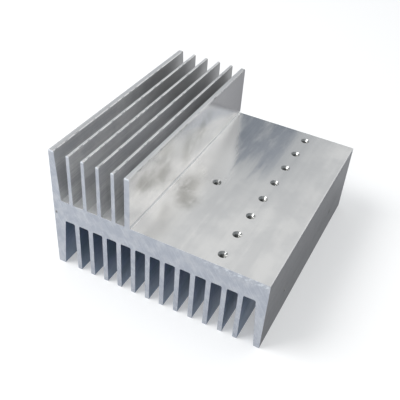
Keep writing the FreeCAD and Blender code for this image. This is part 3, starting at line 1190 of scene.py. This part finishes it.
mark_grain(heat_sink.data)
heat_sink.data.shade_smooth()
heat_sink.data.set_sharp_from_angle(angle=SHARP_ANGLE)
weighted = heat_sink.modifiers.new("flat_faces_stay_flat", "WEIGHTED_NORMAL")
weighted.keep_sharp = True
print("grain marked on", len(heat_sink.data.polygons), "faces")

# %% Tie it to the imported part
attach(heat_sink, "root")
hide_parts(NODE)
print(heat_sink.name, "stands for", NODE)


# %% [markdown]
# The floor is a wide pale sheet, plain and matt. A little light of its own, which only the camera
# and reflections see, makes it white, and it keeps the shadow. The world is a soft studio. Bare
# metal shows what it mirrors more than what shines on it, so the room is bright behind the part
# and stays darker at the right, and is a little paler near the horizon, overhead and in front.
# One large lamp from the left gives the shadow and the glints in the holes.

# %% Floor
FLOOR_REACH = 6.0
FLOOR_COLOR = (0.70, 0.70, 0.70)
FLOOR_ROUGHNESS = 0.9
FLOOR_GLOW = 0.36

floor_mesh = bpy.data.meshes.new("floor")
floor_corners = [(x * FLOOR_REACH, y * FLOOR_REACH, 0) for x, y in ((-1, -1), (1, -1), (1, 1), (-1, 1))]
floor_mesh.from_pydata(floor_corners, [], [(0, 1, 2, 3)])
floor = show("floor", floor_mesh)
floor_material = bpy.data.materials.new("pale_floor")
floor_material.use_nodes = True
tree = floor_material.node_tree
shader = tree.nodes["Principled BSDF"]
shader.inputs["Base Color"].default_value = (*FLOOR_COLOR, 1)
shader.inputs["Roughness"].default_value = FLOOR_ROUGHNESS
shader.inputs["Specular IOR Level"].default_value = 0.0
shader.inputs["Emission Color"].default_value = (1, 1, 1, 1)
rays = add(tree, "ShaderNodeLightPath").outputs
seen = math_node(tree, "MAXIMUM", rays["Is Camera Ray"], rays["Is Glossy Ray"])
seen = math_node(tree, "MAXIMUM", seen, rays["Is Transmission Ray"])
tree.links.new(math_node(tree, "MULTIPLY", seen, FLOOR_GLOW), shader.inputs["Emission Strength"])
floor_mesh.materials.append(floor_material)
print("floor reaches", FLOOR_REACH, "m to each side")

# %% World
ROOM_COLOR = (0.36, 0.385, 0.41)
HORIZON_COLOR = (0.20, 0.205, 0.21)
HIGH_COLOR = (0.50, 0.48, 0.45)
WINDOW_COLOR = (0.56, 0.54, 0.51)
CEILING_COLOR = (0.12, 0.12, 0.12)
FRONT_COLOR = (0.14, 0.135, 0.13)
# A band of directions has an axis, a range along it, and whether it fades out there
BEHIND = ("Y", 0.0, 0.45)
NOT_FAR_RIGHT = ("X", 0.5, 0.65, True)
HIGH_UP = ("Z", 0.56, 0.62)
RIGHT_PART = ("X", -0.24, -0.14)
RIGHT_PART_HEIGHT = ("Z", 0.38, 0.52)
WINDOW_SIDE = ("X", 0.0, 0.3)
WINDOW_FOOT = ("Z", 0.36, 0.46)
WINDOW_TOP = ("Z", 0.6, 0.8, True)
HORIZON = ("Z", 0.15, 0.35, True)
CEILING = ("Z", 0.80, 0.95)
FRONT = ("Y", -0.6, -0.2, True)
FRONT_HEIGHT = ("Z", 0.2, 0.5)

world = bpy.data.worlds.new("studio")
bpy.context.scene.world = world
world.use_nodes = True
tree = world.node_tree
direction = add(tree, "ShaderNodeTexCoord").outputs["Generated"]
parts = add(tree, "ShaderNodeSeparateXYZ", {0: direction}).outputs


def band(axis, low, high, fades=False):
    """A mask over the directions: it rises from 0 to 1 along a range of an axis, or fades."""
    return spread(tree, parts[axis], low, high, float(fades), float(not fades))


behind = band(*BEHIND)
not_far_right = band(*NOT_FAR_RIGHT)
above = overlap(tree, behind, band(*HIGH_UP))
right = overlap(tree, behind, band(*RIGHT_PART), band(*RIGHT_PART_HEIGHT))
glow = overlap(tree, math_node(tree, "MAXIMUM", above, right), not_far_right)
window_height = overlap(tree, band(*WINDOW_FOOT), band(*WINDOW_TOP))
window = overlap(tree, behind, band(*WINDOW_SIDE), window_height, not_far_right)
sky = ROOM_COLOR
for share, color in (
    (band(*HORIZON), HORIZON_COLOR),
    (glow, HIGH_COLOR),
    (window, WINDOW_COLOR),
    (band(*CEILING), CEILING_COLOR),
    (overlap(tree, band(*FRONT), band(*FRONT_HEIGHT)), FRONT_COLOR),
):
    sky = mix_colors(tree, share, sky, color, blend="ADD")
tree.links.new(sky, tree.nodes["Background"].inputs["Color"])
print("world:", len(tree.nodes), "nodes")

# %% Lamp
LAMP_AZIMUTH = math.radians(-58)
LAMP_ELEVATION = math.radians(53)
LAMP_DISTANCE = 1.5
LAMP_SIZE = 0.8
LAMP_POWER = 14.5

lamp_data = bpy.data.lights.new("key", "AREA")
lamp_data.size = LAMP_SIZE
lamp_data.energy = LAMP_POWER
lamp = bpy.data.objects.new("key", lamp_data)
bpy.context.scene.collection.objects.link(lamp)
lamp_aim = aim(LAMP_AZIMUTH, LAMP_ELEVATION)
lamp.matrix_world = Matrix.Translation(lamp_aim.col[2].to_3d() * LAMP_DISTANCE) @ lamp_aim
bpy.context.scene.view_settings.view_transform = "Standard"
print("lamp stands at", [round(side, 2) for side in lamp.matrix_world.translation], "m")

# %% Light paths
BOUNCES = 16

cycles = bpy.context.scene.cycles
cycles.max_bounces = BOUNCES
cycles.glossy_bounces = BOUNCES
print("light bounces between the fins:", cycles.glossy_bounces)
